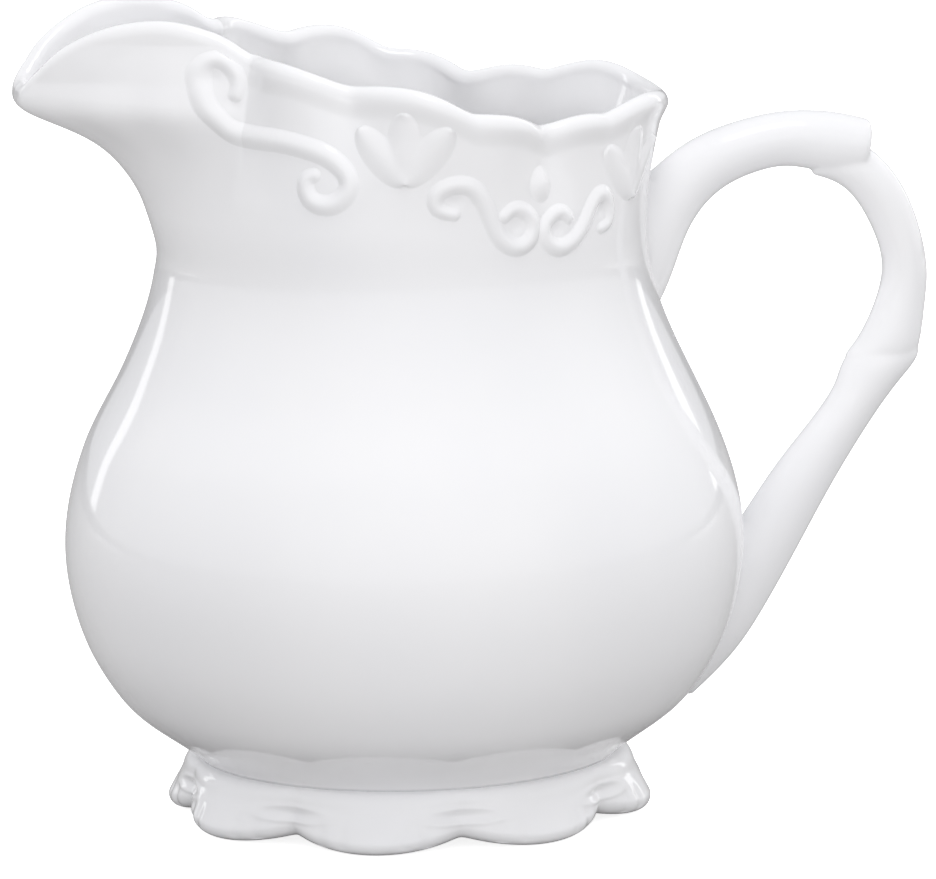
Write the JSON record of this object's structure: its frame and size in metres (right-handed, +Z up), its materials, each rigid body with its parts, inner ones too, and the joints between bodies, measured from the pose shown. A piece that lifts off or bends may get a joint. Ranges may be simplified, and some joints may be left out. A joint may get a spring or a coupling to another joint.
{
  "type": "pitcher",
  "caption": "Glazed porcelain pitcher with a round belly, scalloped rolled rim, wide pulled spout, branch-shaped loop handle, lobed foot and raised scroll ornaments.",
  "frame": {"origin": "on the body's axis, on the plane the foot stands on", "axes": "+Z up along the body's axis, spout along -X, handle along +X, ornaments mirrored across the XZ plane"},
  "size_m": [0.2027, 0.1492, 0.1804],
  "materials": {
    "white_glaze": "white gloss glaze, a little deeper in the hollows of the ornaments and the foot"
  },
  "bodies": {
    "root": {"body_shell": "white_glaze", "pedestal_foot": "white_glaze", "handle": "white_glaze", "spout_scroll_left": "white_glaze", "spout_scroll_right": "white_glaze", "fore_scroll_left": "white_glaze", "fore_scroll_right": "white_glaze", "aft_scroll_left": "white_glaze", "aft_scroll_right": "white_glaze", "bead_left": "white_glaze", "bead_right": "white_glaze", "front_palmette_left": "white_glaze", "front_palmette_right": "white_glaze", "rear_palmette_left": "white_glaze", "rear_palmette_right": "white_glaze"}
  },
  "joints": []
}
